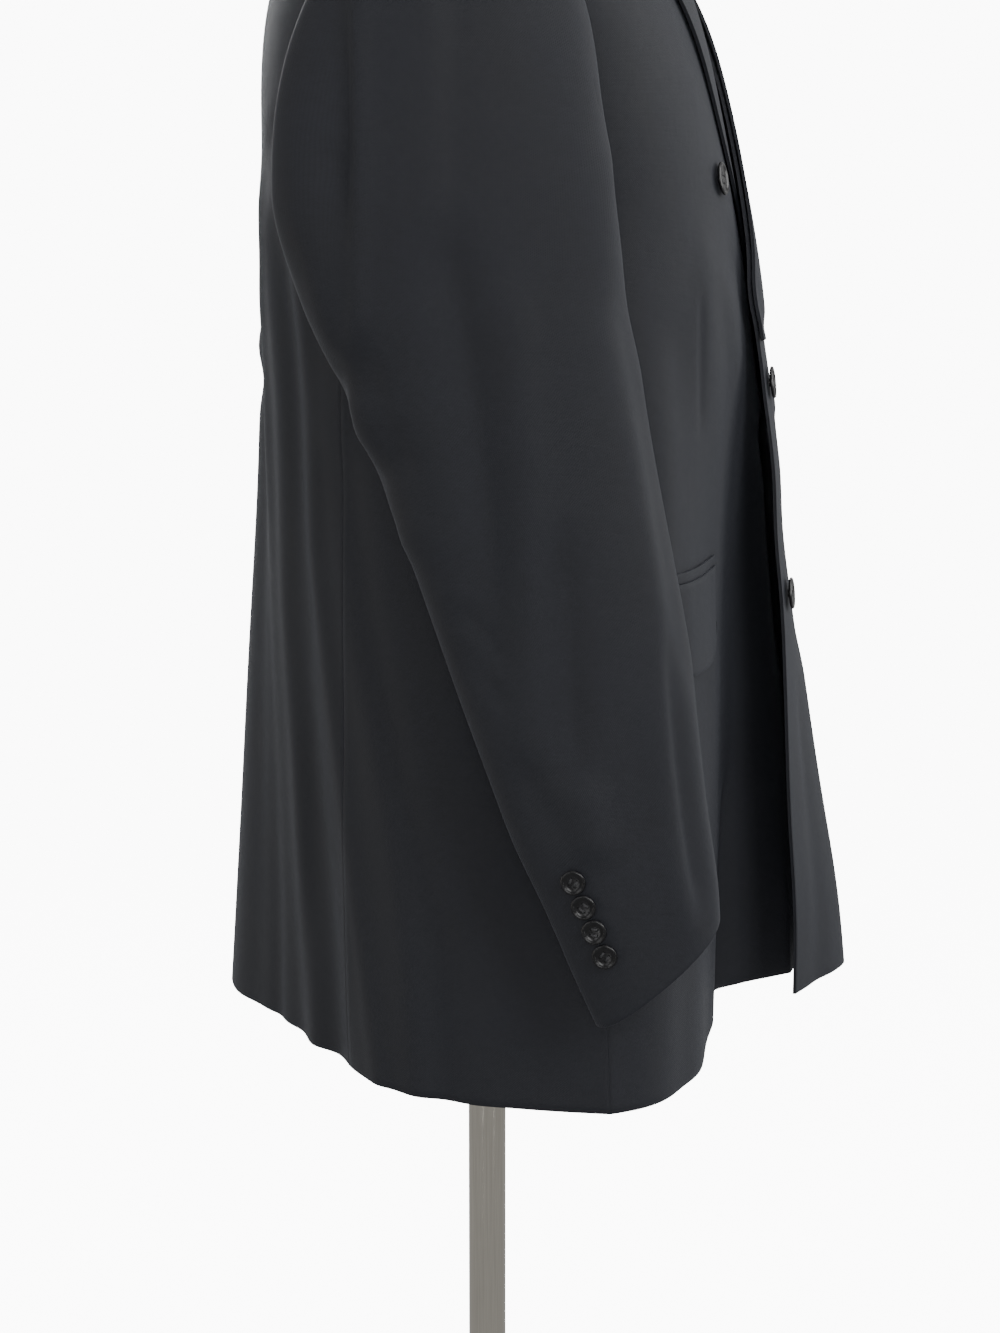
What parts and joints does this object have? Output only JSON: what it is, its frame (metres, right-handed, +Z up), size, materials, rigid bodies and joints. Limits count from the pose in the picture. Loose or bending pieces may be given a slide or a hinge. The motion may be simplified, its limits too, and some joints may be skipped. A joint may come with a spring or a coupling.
{
  "type": "double-breasted suit jacket on a dress form",
  "caption": "Double-breasted peak-lapel suit jacket in black wool, hanging on a limbless dress form on a round steel pole and base.",
  "frame": {"origin": "centre of the base's underside, on the floor under the pole", "axes": "+Z up along the pole, -Y towards the jacket's front, +X towards the wearer's left"},
  "size_m": [0.5416, 0.4075, 1.5526],
  "materials": {
    "black_wool": "matte fine worsted",
    "black_horn": "glossy, rimmed",
    "form_cover": "matte linen cover",
    "polished_steel": "satin polished"
  },
  "bodies": {
    "root": {"back_left": "black_wool", "back_right": "black_wool", "base": "polished_steel", "breast_pocket_welt": "black_wool", "button_lower_left": "black_horn", "button_lower_right": "black_horn", "button_middle_left": "black_horn", "button_middle_right": "black_horn", "button_top_left": "black_horn", "button_top_right": "black_horn", "collar": "black_wool", "cuff_button_left_1": "black_horn", "cuff_button_left_2": "black_horn", "cuff_button_left_3": "black_horn", "cuff_button_left_4": "black_horn", "cuff_button_right_1": "black_horn", "cuff_button_right_2": "black_horn", "cuff_button_right_3": "black_horn", "cuff_button_right_4": "black_horn", "form_neck": "form_cover", "form_torso": "form_cover", "front_left": "black_wool", "front_right": "black_wool", "lapel_left": "black_wool", "lapel_right": "black_wool", "neck_cap": "polished_steel", "pocket_flap_left": "black_wool", "pocket_flap_right": "black_wool", "pocket_jet_left": "black_wool", "pocket_jet_right": "black_wool", "pole": "polished_steel", "side_body_left": "black_wool", "side_body_right": "black_wool", "torso_socket": "polished_steel", "under_sleeve_left": "black_wool", "under_sleeve_right": "black_wool", "upper_sleeve_left": "black_wool", "upper_sleeve_right": "black_wool"}
  },
  "joints": []
}
